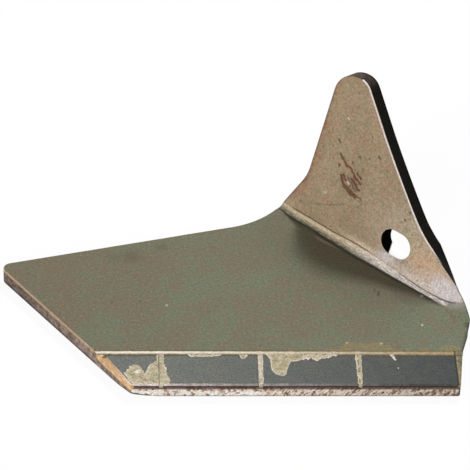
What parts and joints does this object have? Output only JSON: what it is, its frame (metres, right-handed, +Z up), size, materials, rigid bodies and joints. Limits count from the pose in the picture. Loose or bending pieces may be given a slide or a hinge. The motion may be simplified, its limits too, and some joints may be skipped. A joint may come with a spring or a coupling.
{
  "type": "plough share",
  "caption": "Steel wing share with a folded-up pointed flank, an oblong bolt hole and carbide tiles brazed in along its cutting edge.",
  "frame": {"origin": "middle of the bounding box, on the floor that the blade lies on", "axes": "+X along the cutting edge from the pointed wing to the folded side, +Y from the cutting edge to the rear, +Z up"},
  "size_m": [0.2246, 0.1396, 0.0917],
  "materials": {
    "steel_plate": "heat-tinted olive mill scale, dull",
    "carbide": "sintered, dull dark grey",
    "braze": "cast, granular"
  },
  "bodies": {
    "root": {"share_plate": "steel_plate", "carbide_tile_1": "carbide", "carbide_tile_2": "carbide", "carbide_tile_3": "carbide", "carbide_tile_4": "carbide", "braze_metal": "braze"}
  },
  "joints": []
}
